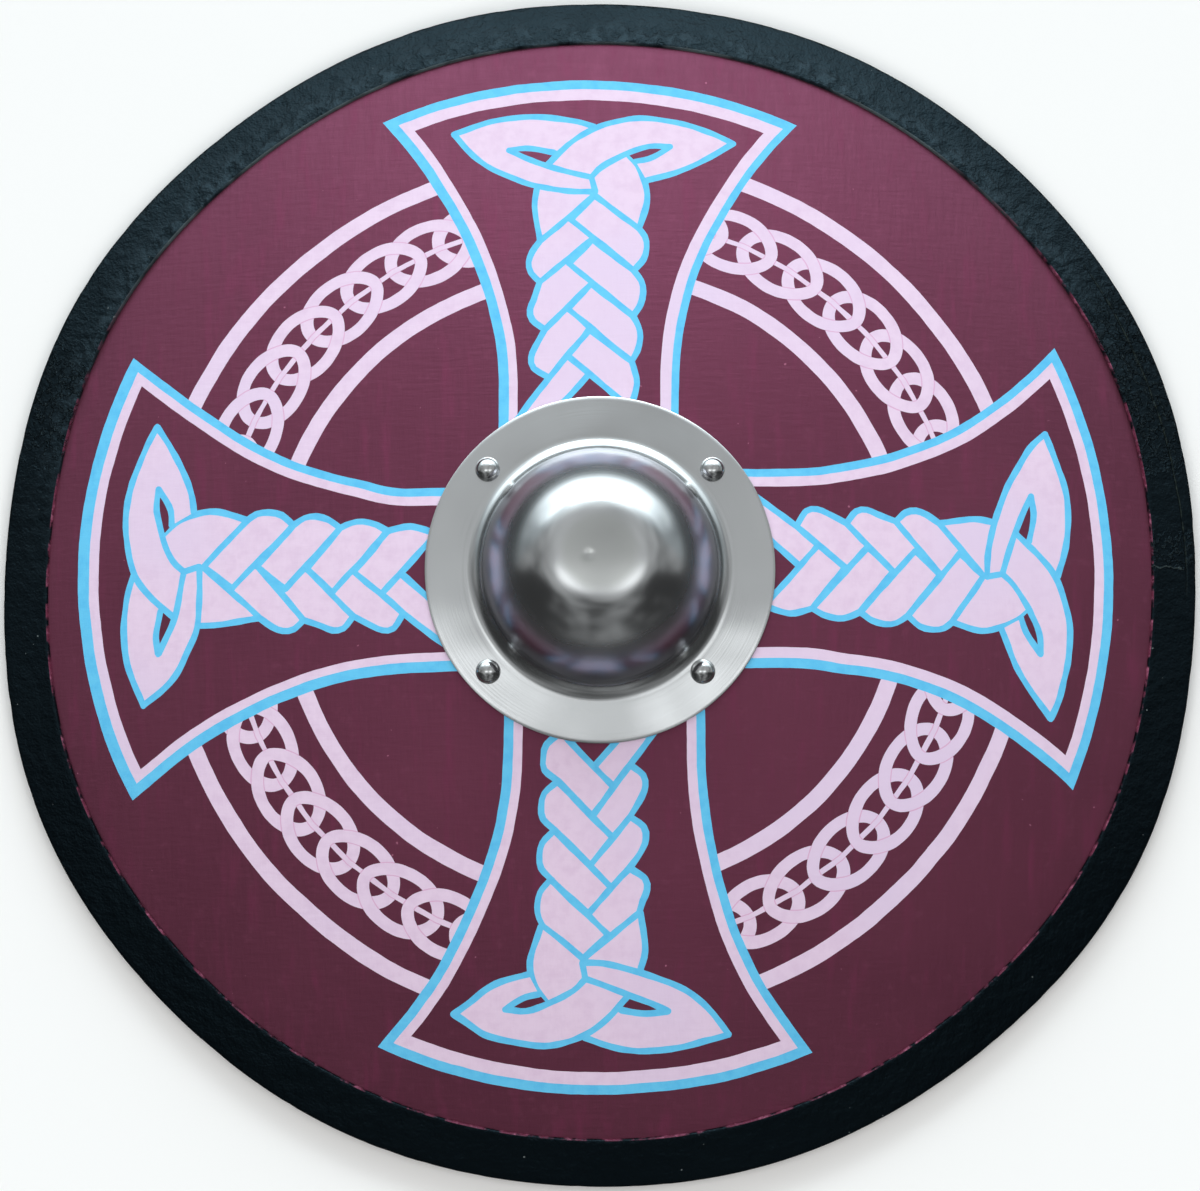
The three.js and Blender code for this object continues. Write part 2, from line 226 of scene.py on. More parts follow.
def cloud(signal, size, vector=None, detail=3.0, roughness=0.55):
    """Noise from 0 to 1 whose blotches are about size metres across."""
    place = vector or signal.make("TexCoord", output="Object")
    return signal.make("TexNoise", inputs={
        "Vector": place, "Scale": 1.0 / size, "Detail": detail, "Roughness": roughness})


def on_layer(radius, angle):
    """A point of a profile, in the XZ plane, on one of the dome's layers."""
    return Vector((radius * math.sin(angle), 0.0, DOME_CENTRE + radius * math.cos(angle)))


def layer_arc(radius, start, end, steps):
    return [on_layer(radius, start + (end - start) * i / steps) for i in range(steps + 1)]


def waver(angle):
    return sum(height * math.cos(lobes * (angle - math.radians(peak)))
               for lobes, height, peak in SAWN_LOBES)


def saw_edge(bm):
    """Moves a turned shape in or out by the waver, fully at the edge and hardly at the middle."""
    for v in bm.verts:
        distance = v.co.xy.length
        stretch = 1.0 + waver(math.atan2(v.co.y, v.co.x)) * distance ** 2 / EDGE_RADIUS ** 3
        v.co.xy *= stretch


def turned(profile, steps, ring=True):
    """Spins a profile about Z. A ring's closes on itself, and any other ends on the axis."""
    bm = bmesh.new()
    verts = [bm.verts.new(point) for point in profile]
    pairs = zip(verts, verts[1:] + verts[:1]) if ring else zip(verts, verts[1:])
    edges = [bm.edges.new(pair) for pair in pairs]
    bmesh.ops.spin(bm, geom=verts + edges, cent=(0, 0, 0), axis=(0, 0, 1),
                   angle=2 * math.pi, steps=steps, use_merge=True, use_duplicate=False)
    bmesh.ops.remove_doubles(bm, verts=bm.verts, dist=1e-6)
    bmesh.ops.recalc_face_normals(bm, faces=bm.faces)
    return bm


def piece(name, bm, finish, slot, *nodes, smooth_angle=40):
    """Makes the finished mesh an object that rides on the shield and stands for its CAD nodes."""
    mesh = bpy.data.meshes.new(name)
    bm.to_mesh(mesh)
    bm.free()
    mesh.materials.append(finish)
    mesh.shade_smooth()
    mesh.set_sharp_from_angle(angle=math.radians(smooth_angle))
    made = bpy.data.objects.new(name, mesh)
    bpy.context.scene.collection.objects.link(made)
    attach(made, "root")
    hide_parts(*nodes)
    return made


birch, shader, wood = material("oiled_birch", roughness=0.6)
grain = cloud(wood, 0.35, stretched(wood, (1.0, 28.0, 9.0)), detail=6.0)
pores = cloud(wood, 0.02, stretched(wood, (1.0, 22.0, 5.0)), detail=2.0)
rings = wood.make("TexWave", {"wave_type": "BANDS", "bands_direction": "Y"}, {
    "Vector": stretched(wood, (2.0, 14.0, 6.0), 0.05), "Scale": 1.0,
    "Distortion": 7.0, "Detail": 2.0, "Detail Scale": 0.6})
tone = 0.55 * grain + 0.45 * rings
base = tone.pick(colour(176, 132, 84), colour(208, 168, 118))
base = pores.step(0.62, 0.8).pick(base, colour(140, 98, 60))
feed(shader, "Base Color", base)
feed(shader, "Roughness", 0.52 + 0.16 * pores)
bumped(shader, 0.6 * grain + 0.4 * pores, 0.0003)

hole_angle = math.asin(HAND_HOLE / BOARD_BACK)
bm = turned(layer_arc(BOARD_BACK, hole_angle, EDGE_ANGLE, 40)
            + layer_arc(BOARD_FACE, EDGE_ANGLE, math.asin(HAND_HOLE / BOARD_FACE), 40), 256)
saw_edge(bm)
piece("wooden_board", bm, birch, "board_wood", "board")


# The painted canvas: linen glued over the board's face and painted by hand in four colours
# with a ringed cross, a plait and a two-leaf knot in each arm and a chain of links in the ring.
# The paint is only colour, so its colours are areas of one smooth skin. Drawn in millimetres.
FACE = 704.45
FACE_CENTRE = DOME_CENTRE * 1000.0
CANVAS_THICKNESS = 0.0008
CANVAS_REACH = 301.9              # its edge lies under the leather
CANVAS_HOLE = 56.5
CLARET, PINK, BLUE, LILAC = range(4)
MESH_STEP = 2.8                   # between points along a colour's edge
FILL_STEP = 8.0                   # between the points that fill the plain areas
NEARNESS = 0.05                   # points and lines nearer than this are joined

colour_edges = []                 # runs of points where one colour may meet another
coats = []                        # (test, colour, colour it goes over or None), in painting order


def run(points, step=MESH_STEP, closed=False):
    """A smooth line through the points, with a point every step."""
    points = np.asarray(points, float)
    before = points[-1] if closed else 2 * points[0] - points[1]
    after = points[:2] if closed else [2 * points[-1] - points[-2]]
    knots = np.vstack([[before], points, after])
    line = []
    for p0, p1, p2, p3 in zip(knots, knots[1:], knots[2:], knots[3:]):
        t = np.arange(0.0, 1.0, step / max(np.linalg.norm(p2 - p1), step))[:, None]
        line.append(0.5 * (2 * p1 + (p2 - p0) * t + (2 * p0 - 5 * p1 + 4 * p2 - p3) * t ** 2
                           + (3 * p1 - p0 - 3 * p2 + p3) * t ** 3))
    if not closed:
        line.append(points[-1:])
    return np.vstack(line)


def straight(points, step=MESH_STEP, closed=False):
    """A line with corners through the points, with a point every step."""
    points = [np.asarray(p, float) for p in points]
    ends = points[1:] + points[:1] if closed else points[1:]
    line = []
    for p, q in zip(points, ends):
        t = np.arange(0.0, 1.0, step / max(np.linalg.norm(q - p), step))[:, None]
        line.append(p + (q - p) * t)
    if not closed:
        line.append(points[-1][None])
    return np.vstack(line)


def beside(line, distance):
    """The line moved sideways, to its left."""
    along = np.gradient(line, axis=0)
    along /= np.linalg.norm(along, axis=1)[:, None]
    return line + distance * np.stack([-along[:, 1], along[:, 0]], axis=1)


def within(outline):
    """A test for which points lie inside a closed outline."""
    low, high = outline.min(0), outline.max(0)
    ends = np.roll(outline, -1, axis=0)

    def test(points):
        inside = np.zeros(len(points), bool)
        near = np.flatnonzero(np.all((points > low) & (points < high), axis=1))
        x, y = points[near, 0], points[near, 1]
        odd = np.zeros(len(near), bool)
        for (x1, y1), (x2, y2) in zip(outline, ends):
            if y1 != y2:
                odd ^= ((y1 > y) != (y2 > y)) & (x < (x2 - x1) * (y - y1) / (y2 - y1) + x1)
        inside[near] = odd
        return inside
    return test


def fill(outline, paint, over=None):
    """Paints a closed outline."""
    colour_edges.append(np.vstack([outline, outline[:1]]))
    coats.append((within(outline), paint, over))


def spot(centre, radius, paint, over=None, sides=10):
    turn = np.arange(sides) * 2 * math.pi / sides
    circle = np.stack([np.cos(turn), np.sin(turn)], axis=1) * radius + np.asarray(centre)
    fill(circle, paint, over)


def stroke(line, width, paint, over=None, round_ends=True):
    """Paints a line, a little wider and narrower along its way as a brush leaves it."""
    uneven = [1.0 + 0.22 * noise.noise((x / 9.0, y / 9.0, 5.0)) for x, y in line]
    half = width / 2 * np.array(uneven)[:, None]
    fill(np.vstack([beside(line, half), beside(line, -half)[::-1]]), paint, over)
    if round_ends:
        spot(line[0], width / 2, paint, over)
        spot(line[-1], width / 2, paint, over)


# The ring: two pink lines, and between them the chain, each link's wide head lying over the
# next link going clockwise and over that link's narrow tail, with a bar along the middle.
# One quarter each: how far its stencil had shifted, its first head's angle, and the pitch.
RING_CENTRE = (-3.0, -2.0)
RING_LINES = ((213.2, 221.4), (151.3, 159.5))
RING_START, RING_END = -60.0, 215.0
LINE_WIDTH = 0.55
LINK_LENGTH = 48.5
PITCH_RADIUS = 188.0              # lengths along the chain are taken at this radius
QUARTERS = [((0.0, 0.0), 68.7, 8.27), ((0.5, -0.5), -21.4, 8.3),
            ((2.0, -4.0), -113.2, 8.12), ((-5.0, -2.0), 156.1, 8.1)]
CHAIN_RADIUS = 185.5
LINK_OUTSIDE = [(0, 0), (1.2, 5.2), (4.5, 9.8), (11, 14.2), (19, 16.5), (27, 16.6), (35, 14.8),
                (42, 10.8), (46.8, 5.6), (48.5, 0)]
LINK_INSIDE = [(6.3, 0), (7.5, 3.5), (11, 6.8), (16.8, 9.8), (22.5, 10.7), (28.6, 10.2),
               (34.4, 8.1), (39.4, 4.7), (42.3, 0)]


def egg(half):
    """A closed outline from the upper half of a link."""
    return half + [(u, -v) for u, v in half[-2:0:-1]]


for (dx, dy), first_head, pitch in QUARTERS:
    centre = np.array([RING_CENTRE[0] + dx, RING_CENTRE[1] + dy])

    def round_ring(points, start=first_head, centre=centre):
        """Points given as length clockwise and height above the chain's middle line."""
        points = np.asarray(points, float)
        turn = math.radians(start) - points[:, 0] / PITCH_RADIUS
        reach = CHAIN_RADIUS + points[:, 1]
        return centre + np.stack([np.cos(turn), np.sin(turn)], axis=1) * reach[:, None]

    for inner, outer in RING_LINES:
        edge = [(s, outer - CHAIN_RADIUS) for s in np.arange(RING_START, RING_END, 4.0)]
        back = [(s, inner - CHAIN_RADIUS) for s in np.arange(RING_END, RING_START, -4.0)]
        fill(run(round_ring(edge + back), closed=True), PINK)
    pitch_length = math.radians(pitch) * PITCH_RADIUS
    for link in range(7, -2, -1):
        tail = link * pitch_length - LINK_LENGTH
        front = tail + LINK_LENGTH
        if link < 7:
            stretch = straight(round_ring([(front - 19.5, 0.0), (front + 9.0, 0.0)]))
            for side in (1.4, -1.4):
                stroke(beside(stretch, side), 0.5, LILAC, PINK, round_ends=False)
            stroke(stretch, 2.6, PINK, CLARET, round_ends=False)
        outside, inside = [
            run(round_ring([(tail + u, v) for u, v in egg(half)]), step, closed=True)
            for half, step in ((LINK_OUTSIDE, 1.6), (LINK_INSIDE, 1.5))]
        in_outside, in_inside = within(outside), within(inside)
        for outline in (outside, inside):
            outline = np.vstack([outline, outline[:1]])
            colour_edges.append(outline)
            stroke(outline, LINE_WIDTH, LILAC, PINK, round_ends=False)

        def on_band(points, in_outside=in_outside, in_inside=in_inside):
            return in_outside(points) & ~in_inside(points)
        coats.append((on_band, PINK, CLARET))


# The arms: a blue line, a pink line inside it, and claret inside that. Each arm was drawn
# from one stencil that had shifted a little: how far each side stands from the arm's middle.
# Then the widths of blue and pink on its left, its right and its end, how far the plait's middle
# stands off 100 and 190 mm out, how full the plait is, and where the knot strayed: a place on
# the stencil and how far the copy lies from it.
ARM_STATIONS = (60.0, 100.0, 120.0, 140.0, 160.0, 180.0, 200.0, 215.0, 230.0, 245.0)
ARMS = [
    (0, (-50.4, -50.8, -53.0, -57.9, -64.6, -73.6, -84.5, -93.8, -105.0, -117.0),
     (39.6, 39.6, 41.3, 45.6, 52.3, 61.7, 73.1, 83.2, 95.7, 110.0),
     (262.0, 259.0, 255.5), (5.1, 4.3), (3.9, 5.6), (5.0, 6.2), (-7.3, -4.2), 1.0, []),
    (1, (-50.2, -51.8, -54.1, -58.4, -65.1, -73.8, -85.2, -95.7, -106.9, -119.0),
     (41.0, 41.6, 46.4, 52.0, 60.0, 71.1, 85.4, 97.4, 109.5, 122.0),
     (260.0, 264.0, 263.5), (5.3, 4.3), (4.2, 4.6), (5.8, 5.0), (-3.3, 4.6), 1.0,
     [((0, 232.5), (-8.7, 3)), ((-0.7, 204.5), (-4, 6.5)), ((-43, 220), (-3, 2)),
      ((-20, 216), (-4.5, 2.5)), ((1.5, 196.5), (0, 4)), ((24, 237.5), (-1, 2))]),
    (2, (-51.5, -52.6, -54.8, -58.0, -63.0, -69.9, -79.4, -89.3, -100.4, -112.0),
     (47.6, 48.3, 50.8, 55.6, 62.8, 72.0, 83.3, 94.2, 106.9, 120.0),
     (260.0, 258.5, 259.5), (4.4, 4.8), (4.8, 4.6), (4.8, 6.3), (1.8, 5.4), 0.9,
     [((0, 232.5), (0, -2.5)), ((70.7, 224), (-5.5, -6)), ((24, 237.5), (0, -3.5)),
      ((-0.7, 204.5), (2, -3.5)), ((38.6, 222), (3, -6)), ((17, 217.5), (4.4, -4.5)),
      ((-43, 220), (3, -3)), ((-20, 216), (4, -1.5))]),
    (3, (-51.0, -51.6, -54.3, -59.1, -66.2, -75.8, -90.3, -103.4, -119.0, -136.0),
     (49.4, 49.0, 51.0, 53.4, 58.6, 66.0, 77.0, 86.9, 98.6, 112.0),
     (260.0, 259.0, 260.0), (4.1, 5.0), (4.9, 5.4), (4.8, 4.8), (-3.9, 0.3), 1.0,
     [((-71.5, 229), (-6.5, -5)), ((0, 232.5), (-5, -3)), ((-0.7, 204.5), (-2, -3.5)),
      ((1.5, 196.5), (-1.5, -2)), ((70.7, 224), (-2.6, 3)), ((38.6, 222), (-3, 0)),
      ((17, 217.5), (-2.7, -1.5)), ((-43, 220), (0, -4)), ((-20, 216), (0.5, -3)),
      ((-31, 238.5), (-3, -2.5)), ((24, 237.5), (2, -1))]),
]
STROKE = 3.2
LEFT_PITCH = 25.2                 # between the folds on each side of a plait
PLAIT_PITCH = 24.0
FOLDS = 4


for quarter, left, right, ends, left_bands, right_bands, end_bands, axis, fullness, strays in ARMS:
    c, s = [(1, 0), (0, 1), (-1, 0), (0, -1)][quarter]
    outward = np.array([[c, s], [-s, c]])

    def placed(line, outward=outward):
        """From across and along the arm to the shield's own X and Y."""
        return np.asarray(line, float) @ outward

    left_edge = run(list(zip(left, ARM_STATIONS)))
    right_edge = run(list(zip(right, ARM_STATIONS)))

    def end_radius(a, b, ends=ends):
        across = np.clip(np.arctan2(a, b) / math.radians(24.5), -1.2, 1.2)
        return ends[1] + (ends[2] - ends[0]) / 2 * across + (
            (ends[2] + ends[0]) / 2 - ends[1]) * across ** 2

    insets = [(0.0, 0.0, 0.0), (left_bands[0], right_bands[0], end_bands[0]),
              (sum(left_bands), sum(right_bands), sum(end_bands))]
    for (inset_left, inset_right, inset_end), paint in zip(insets, (BLUE, PINK, CLARET)):
        low = beside(left_edge, -inset_left)
        high = beside(right_edge, inset_right)
        lean = np.radians(np.linspace(-33.0, 33.0, 200))
        a, b = np.sin(lean), np.cos(lean)
        reach = end_radius(a, b) - inset_end
        end = np.stack([a * reach, b * reach], axis=1)
        colour_edges += [placed(low), placed(high), placed(end)]

        def in_arm(points, low=low, high=high, inset=inset_end, outward=outward,
                   end_radius=end_radius):
            a, b = (points @ outward.T).T
            return ((b > 60.0) & (a > np.interp(b, low[:, 1], low[:, 0]))
                    & (a < np.interp(b, high[:, 1], high[:, 0]))
                    & (np.hypot(a, b) < end_radius(a, b) - inset))
        coats.append((in_arm, paint, None))

    def on_axis(points, axis=axis, strays=strays):
        """From the stencil to this arm: moved to the plait's leaning middle line, and strayed."""
        points = np.asarray(points, float)
        moved, weight = np.zeros_like(points), np.full(len(points), 0.25)
        for place, by in strays:
            near = np.exp(-((points - place) ** 2).sum(axis=1) / (2 * 11.0 ** 2))
            moved += near[:, None] * by
            weight += near
        moved /= np.maximum(weight, 0.25)[:, None]
        moved[:, 0] += axis[0] + (axis[1] - axis[0]) * (points[:, 1] - 100.0) / 90.0
        return points + moved

    def blue_line(points, smooth=True, **more):
        line = run(points) if smooth else straight(points)
        stroke(placed(on_axis(line)), STROKE, BLUE, **more)

    def lobe(curved, corners):
        """One fold of the plait: pink with a blue line round it, rounded on its outside."""
        shape = np.vstack([run(curved)[:-1], straight([curved[-1], *corners, curved[0]])[:-1]])
        shape = placed(on_axis(shape))
        fill(shape, PINK)
        first = len(run(curved))
        outline = np.vstack([shape, shape[:1]])
        stroke(outline[:first], STROKE, BLUE)
        ends = placed(on_axis([curved[-1], *corners, curved[0]]))
        for p, q in zip(ends, ends[1:]):
            stroke(straight([p, q]), STROKE, BLUE)

    # The collars that join the plait to the knot.
    fill(placed(on_axis(straight(
        [(-28, 201), (-28.7, 188), (-25, 170), (1.2, 194.5), (1.5, 201)], closed=True))), PINK)
    fill(placed(on_axis(straight(
        [(1.2, 194.5), (25, 176), (28, 190), (27, 200), (23, 210), (17, 217.5), (5, 210.5),
         (-0.7, 204.5)], closed=True))), PINK)
    blue_line([(-28, 200), (-28.7, 188), (-25, 170)])
    blue_line([(17, 217.5), (23, 210), (27, 200), (28, 190), (24.5, 176.5)])

    def left_notch(fold, fullness=fullness):
        """How far across the plait's left edge is below a fold."""
        return (-24.5 + 3.2 * fold) * (1 if fullness == 1 else 0.75 + 0.08 * fold)

    # The plait, its folds from the boss outward, each over the ends of the last.
    for fold in range(FOLDS - 1, -1, -1):
        notch, reach = left_notch(fold), (-30.6 + 1.6 * fold) * fullness
        b = 148.0 - LEFT_PITCH * fold
        above = (-25.0 * fullness ** 0.3, 170.0) if fold == 0 else (
            left_notch(fold - 1), b + LEFT_PITCH)
        inner_top = (1.2, 194.5 - PLAIT_PITCH * fold)
        inner_foot = (1.2, 170.5 - PLAIT_PITCH * fold)
        if fold < FOLDS - 1:
            lobe([(notch, b), (reach + 1.3, b + 5.0), (reach, b + 10.5), (reach + 1.8, b + 16.0),
                  above], [inner_top, inner_foot])
        else:
            lobe([(above[0] - 15.0, above[1] - 22.0), (above[0] - 7.0, above[1] - 9.8), above],
                 [inner_top, inner_foot, (-16.0, 78.0)])
        b = 153.6 - PLAIT_PITCH * fold
        notch, reach = 22.7, 28.8 - fold
        if fullness < 1:
            notch, reach = 20.6 - 0.8 * fold, 26.6
        above = (24.5 * (0.5 + 0.5 * fullness), 176.2) if fold == 0 else (notch, b + PLAIT_PITCH)
        lobe([(notch, b), (reach - 1.2, b + 6.0), (reach, b + 12.8), (reach - 1.2, b + 18.5),
              above], [inner_top, (-10.0, inner_foot[1] + 11.0)])

    # The knot: two leaves, the right one over the left and its own ribbon under.
    left_top = [(-71.5, 229), (-50, 236.5), (-31, 238.5), (-12, 236), (0, 232.5)]
    left_foot = [(-71.5, 229), (-63, 219), (-52.5, 210.5), (-40, 204.5), (-28, 200),
                 (-12, 197), (1.5, 196.5)]
    ribbon_top = [(-43, 220), (-34, 215.5), (-23, 211), (-10, 207), (-0.7, 204.5)]
    left_eye = [(-43, 220), (-33, 221), (-20, 218.5)]
    right_top = [(-23, 212), (-13, 222.5), (0, 231.5), (12, 236), (24, 237.5), (42, 235),
                 (58, 230), (70.7, 224)]
    right_foot = [(70.7, 224), (58, 215.5), (44, 208), (27.5, 202.5)]
    right_eye_top = [(-0.7, 204.5), (5, 210.5), (17, 217.5), (28, 221.7), (38.6, 221.5)]
    right_eye_foot = [(38.6, 221.5), (33, 217.5), (28, 214.7), (21.5, 213)]

    def pink_or_claret(*runs, paint=PINK):
        fill(placed(on_axis(np.vstack([run(points) for points in runs]))), paint)

    pink_or_claret(left_foot[::-1], left_top, [(1.5, 222), (1.5, 205)])
    pink_or_claret(left_eye, [(-20, 218.5), (-21, 212)], [(-22, 211.5), (-34, 215.5), (-43, 220)],
                   paint=CLARET)
    pink_or_claret(right_top, right_foot, [(27.5, 202.5), (21.5, 213)], right_eye_top[:3][::-1],
                   ribbon_top[::-1][:3])
    pink_or_claret(right_eye_top[2:], right_eye_foot, paint=CLARET)
    blue_line(left_eye)
    pink_or_claret(right_top[:3], [(4, 222), (-6, 209)])
    for line in (left_top, left_foot, ribbon_top, right_top, right_foot, right_eye_top,
                 right_eye_foot, [(-0.7, 204.5), (1.5, 196.5)]):
        blue_line(line)


def wobble(points):
    """How far the painter's hand strayed at each point: slow drift and a little roughness."""
    strayed = np.zeros_like(points)
    for size, reach, seed in ((48.0, 0.55, 3.0), (17.0, 0.32, 11.0), (4.5, 0.14, 23.0)):
        for axis in (0, 1):
            strayed[:, axis] += [reach * noise.noise((x / size, y / size, seed + 50.0 * axis))
                                 for x, y in points]
    distance = np.hypot(points[:, 0], points[:, 1])
    calm = np.clip((290.0 - distance) / 15.0, 0, 1) * np.clip((distance - 60.0) / 10.0, 0, 1)
    return strayed * calm[:, None]


def circle_points(reach, count, sawn=False):
    """A circle about the shield's middle, or the same with the sawn edge's waver."""
    out = waver if sawn else lambda t: 0.0
    return np.array([(1 + out(t) * 1000.0 * reach ** 2 / (EDGE_RADIUS * 1000.0) ** 3)
                     * reach * np.array([math.cos(t), math.sin(t)])
                     for t in np.linspace(0, 2 * math.pi, count, endpoint=False)])


edge_points = circle_points(CANVAS_REACH, 360, sawn=True)
hole_points = circle_points(CANVAS_HOLE, 96)
in_edge, in_hole = within(edge_points), within(hole_points)
places, pairs = [], []
for line in colour_edges + [np.vstack([o, o[:1]]) for o in (edge_points, hole_points)]:
    first = len(places)
    places += [tuple(p) for p in line]
    pairs += [(first + i, first + i + 1) for i in range(len(line) - 1)]
for reach in np.arange(62.0, 300.0, FILL_STEP):
    count = int(2 * math.pi * reach / FILL_STEP)
    turn = np.arange(count) * 2 * math.pi / count + 0.37 * reach
    places += list(zip(reach * np.cos(turn), reach * np.sin(turn)))
places = np.array(places)
places += wobble(places)          # before they are joined, so that no thin triangle folds over
flat, _, triangles, _, _, _ = delaunay_2d_cdt([Vector(p) for p in places], pairs, [], 0, NEARNESS,
                                              False)
flat = np.array([v[:] for v in flat])
triangles = np.array([t[:] for t in triangles])
middles = flat[triangles].mean(axis=1)
drawn = middles - wobble(middles)
middles -= wobble(drawn)          # back to where each was drawn
kept = in_edge(middles) & ~in_hole(middles)
triangles, middles = triangles[kept], middles[kept]
painted = np.full(len(middles), CLARET)
for test, paint, over in coats:
    wet = test(middles)
    if over is not None:
        wet &= painted == over
    painted[wet] = paint
used, triangles = np.unique(triangles, return_inverse=True)
triangles = triangles.reshape(-1, 3)
flat = flat[used]
lift = FACE_CENTRE + np.sqrt(FACE ** 2 - (flat ** 2).sum(axis=1))
canvas_mesh = bpy.data.meshes.new("painted_canvas")
canvas_mesh.from_pydata(np.column_stack([flat, lift]) / 1000.0, [], triangles.tolist())
for name, paint in (("pink_paint", PINK), ("blue_paint", BLUE), ("lilac_line", LILAC)):
    shown = canvas_mesh.attributes.new(name, "FLOAT", "FACE")
    shown.data.foreach_set("value", (painted == paint).astype(np.float32))
canvas_mesh.shade_smooth()
canvas = bpy.data.objects.new("painted_canvas", canvas_mesh)
bpy.context.scene.collection.objects.link(canvas)
backing = canvas.modifiers.new("canvas_thickness", "SOLIDIFY")
backing.thickness = CANVAS_THICKNESS
backing.offset = -1.0

linen, shader, paint = material("painted_linen", roughness=0.5)
shader.inputs["IOR"].default_value = 1.6
shader.inputs["Specular IOR Level"].default_value = 1.0
shader.inputs["Specular Tint"].default_value = (1.0, 0.26, 0.52, 1.0)


def shows(name):
    return paint.make("Attribute", {"attribute_name": name}, output="Fac")


drift = cloud(paint, 0.11, detail=2.0)
fine = cloud(paint, 0.006, detail=3.0)
weft = cloud(paint, 0.0022, stretched(paint, (0.16, 1.0, 0.4)), detail=2.0)
warp = cloud(paint, 0.0022, stretched(paint, (1.0, 0.16, 0.4)), detail=2.0)
weave = 0.5 * weft + 0.5 * warp
streaks = cloud(paint, 0.007, stretched(paint, (1.0, 0.14, 0.5), 0.5), detail=3.0)
dust = cloud(paint, 0.0035, detail=1.0).step(0.80, 0.84)
ground = drift.step(0.3, 0.7).pick(colour(74, 38, 49), colour(81, 42, 54))
ground = fine.step(0.55, 0.8).pick(ground, colour(88, 46, 60))
ground = streaks.step(0.5, 0.8).pick(ground, colour(92, 41, 60))
ground = dust.pick(ground, colour(150, 92, 112))
pale = fine.step(0.35, 0.75).pick(colour(231, 207, 228), colour(224, 198, 221))
pale = drift.step(0.45, 0.75).pick(pale, colour(225, 204, 228))
sky_blue = fine.step(0.35, 0.8).pick(colour(106, 200, 240), colour(92, 188, 234))
light_paint = shows("blue_paint").pick(pale, sky_blue)
light_paint = shows("lilac_line").pick(light_paint, colour(220, 174, 206))
feed(shader, "Base Color", ground)
feed(shader, "Roughness", 0.34 + 0.16 * weave + 0.18 * streaks)
bumped(shader, weave + 0.5 * streaks, 0.0003)
thicker_paint = paint.make("BsdfPrincipled", inputs={
    "Specular IOR Level": 0.12, "Base Color": light_paint, "Roughness": 0.55 + 0.1 * weave,
    "Normal": weave.make("Bump", inputs={
        "Height": weave, "Distance": 0.0002, "Strength": 1.0})}, output="BSDF")
two_paints = paint.make("MixShader", inputs={
    "Fac": shows("pink_paint") + shows("blue_paint") + shows("lilac_line"),
    1: Signal(paint.tree, shader.outputs["BSDF"]), 2: thicker_paint}, output="Shader")
feed(paint.tree.nodes["Material Output"], "Surface", two_paints)
canvas_mesh.materials.append(linen)
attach(canvas, "root")
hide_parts("canvas_facing")


# The rim: one strip of black cowhide folded wet over the board's edge and glued, butted at
# three o'clock. It has shrunk into small wrinkles, and the face's paint ran up its inner edge.
# Its colour also has painted sheen and painted highlights on its upper part, its wrinkles and
# its inner edge.
LEATHER_BACK = 0.69205
LEATHER_TOP = 0.70675
ON_FACE = 0.70475
RIM_FACE_WIDTH = 0.0235
RIM_BACK_WIDTH = 0.022

wrap_angle = 0.0023 / BOARD_BACK
face_start = EDGE_ANGLE - RIM_FACE_WIDTH / 0.70445
back_start = EDGE_ANGLE - RIM_BACK_WIDTH / BOARD_BACK
outer = EDGE_ANGLE + wrap_angle
rest_from = outer - 0.0015 / math.sin(outer) / LEATHER_BACK
fold = [on_layer(LEATHER_BACK + 0.0022 + i * 0.0023, outer) for i in range(5)]
profile = layer_arc(LEATHER_BACK, back_start, rest_from, 10)
profile[-1].z = 0.0
rest_out = on_layer(LEATHER_BACK + 0.0015 / math.cos(outer), outer)
rest_out.z = 0.0
profile += [rest_out] + fold
for i in range(5):
    bend = i / 4 * math.pi / 2
    profile.append(on_layer(LEATHER_TOP - 0.0016 * (1 - math.sin(bend)),
                            outer - 0.0018 / LEATHER_TOP * (1 - math.cos(bend))))
profile += layer_arc(LEATHER_TOP, outer - 0.004 / LEATHER_TOP,
                     face_start + 0.0009 / LEATHER_TOP, 15)
profile += [on_layer(LEATHER_TOP - 0.00025, face_start + 0.0003 / LEATHER_TOP),
            on_layer(LEATHER_TOP - 0.0008, face_start)]
profile += layer_arc(ON_FACE, face_start, EDGE_ANGLE, 5)
profile += layer_arc(BOARD_BACK - 0.0003, EDGE_ANGLE, back_start, 5)
hide, shader, leather = material("black_hide", roughness=0.45)
shader.inputs["Specular IOR Level"].default_value = 0.27
shader.inputs["Specular Tint"].default_value = (0.45, 0.8, 1.0, 1.0)
place = leather.make("TexCoord", output="Object")
x = leather.make("SeparateXYZ", inputs={"Vector": place}, output="X")
y = leather.make("SeparateXYZ", inputs={"Vector": place}, output="Y")
reach = (x * x + y * y) ** 0.5
clock = leather.math("ARCTAN2", y, x)              # 0 at three o'clock, half pi at twelve


def around(low, high, soft=0.06):
    """1 between two places round the rim, given as angles, fading over the soft part."""
    return clock.step(low - soft, low + soft) * (1.0 - clock.step(high - soft, high + soft))


pebble = leather.make("TexVoronoi", {"feature": "SMOOTH_F1"}, {
    "Vector": place, "Scale": 900.0})
creases = cloud(leather, 0.004, detail=5.0)
broad = cloud(leather, 0.03, detail=3.0)
shrunk = around(0.24, 0.50, 0.08) + around(2.74, 2.90, 0.06)
wrinkle = 1.0 - leather.math("ABSOLUTE", cloud(leather, 0.0065, detail=4.0) - 0.5).step(0.0, 0.05)
frayed = clock + 0.02 * (cloud(leather, 0.005) - 0.5)
butt = frayed.step(0.0285, 0.0295) * (1.0 - frayed.step(0.031, 0.0325)) * (
    1.0 - (reach + 0.012 * broad).step(0.298, 0.304)) + 0.5 * around(0.034, 0.09, 0.015) * wrinkle
wrinkles_and_sheen = leather.math("MINIMUM", shrunk, 1.0) * wrinkle
fleck = cloud(leather, 0.0021, detail=0.0).step(0.885, 0.9)
